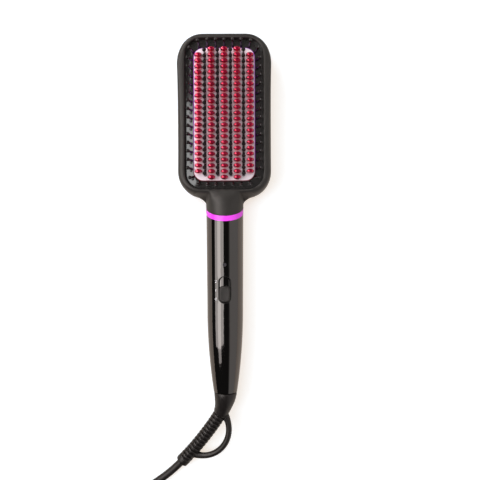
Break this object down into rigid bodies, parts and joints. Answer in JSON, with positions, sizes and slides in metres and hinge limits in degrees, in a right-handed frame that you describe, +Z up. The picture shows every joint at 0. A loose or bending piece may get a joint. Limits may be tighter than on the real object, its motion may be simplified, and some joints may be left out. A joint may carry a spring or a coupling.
{
  "type": "hair straightening brush",
  "caption": "Paddle brush with a heated plate of oval posts and ball-tipped bristles, a round handle with a slide switch, and a swivel cord with a hanging loop.",
  "frame": {"origin": "under the middle of the brush, on the surface it lies on with its bristles up", "axes": "+Z up out of the bristle side, +Y from handle to paddle tip, +X to the right"},
  "size_m": [0.1457, 0.4794, 0.0344],
  "materials": {
    "matte_shell": "fine matte",
    "gloss_shell": "gloss",
    "gloss_floor": "gloss",
    "nylon_bristle": "satin",
    "plate_metal": "satin, faintly rosy",
    "post_enamel": "gloss crimson",
    "ring_plastic": "gloss magenta",
    "lens": "gloss",
    "thumb_grip": "matte",
    "soft_rubber": "matte",
    "cord_jacket": "matte",
    "screw_steel": "zinc plated",
    "heater_ceramic": "matte white",
    "mica": "flaky",
    "clamp_steel": "bare",
    "board": "solder mask",
    "component": "moulded",
    "capacitor": "moulded",
    "contact": "bare",
    "wire_jacket": "silicone",
    "tie_strap": "matte",
    "blade_metal": "nickel plated"
  },
  "bodies": {
    "brush": {"head_front_frame": "matte_shell", "head_back_cover": "matte_shell", "guard_bezel": "gloss_floor", "guard_bristles": "nylon_bristle", "heating_plate": "plate_metal", "heating_posts": "post_enamel", "inner_bristles": "nylon_bristle", "bristle_strips": "nylon_bristle", "ceramic_heaters": "heater_ceramic", "mica_sheet": "mica", "clamp_plate": "clamp_steel", "clamp_screws": "screw_steel", "temperature_sensor": "component", "thermal_fuse": "component", "frame_screws": "screw_steel", "heater_leads": "wire_jacket", "trim_ring": "ring_plastic", "handle_front_shell": "gloss_shell", "handle_back_shell": "gloss_shell", "handle_screws": "screw_steel", "control_board": "board", "controller_chip": "component", "film_capacitor": "capacitor", "triac": "component", "electrolytic_capacitor": "component", "indicator_led": "lens", "indicator_lens": "lens", "switch_body": "component", "mains_leads": "wire_jacket", "contact_bulkhead": "component", "contact_leaves": "contact", "power_cord": "cord_jacket", "power_cord_coil": "cord_jacket", "power_cord_end": "cord_jacket", "cord_tie": "tie_strap", "plug_body": "soft_rubber", "plug_blades": "blade_metal"},
    "switch": {"switch_slider": "thumb_grip", "switch_thumb_pad": "thumb_grip", "switch_lever": "component"},
    "cord_swivel": {"cord_boot": "soft_rubber", "hanging_loop": "soft_rubber", "swivel_spindle": "component", "slip_rings": "contact"}
  },
  "joints": [
    {"name": "switch_slide", "type": "slide", "parent": "brush", "child": "switch", "axis": [0, 1, 0], "range_m": [0, 0.0069]},
    {"name": "cord_turn", "type": "hinge", "parent": "brush", "child": "cord_swivel", "pos_m": [0, -0.1475, 0.0154], "axis": [0, 1, 0], "continuous": true}
  ]
}
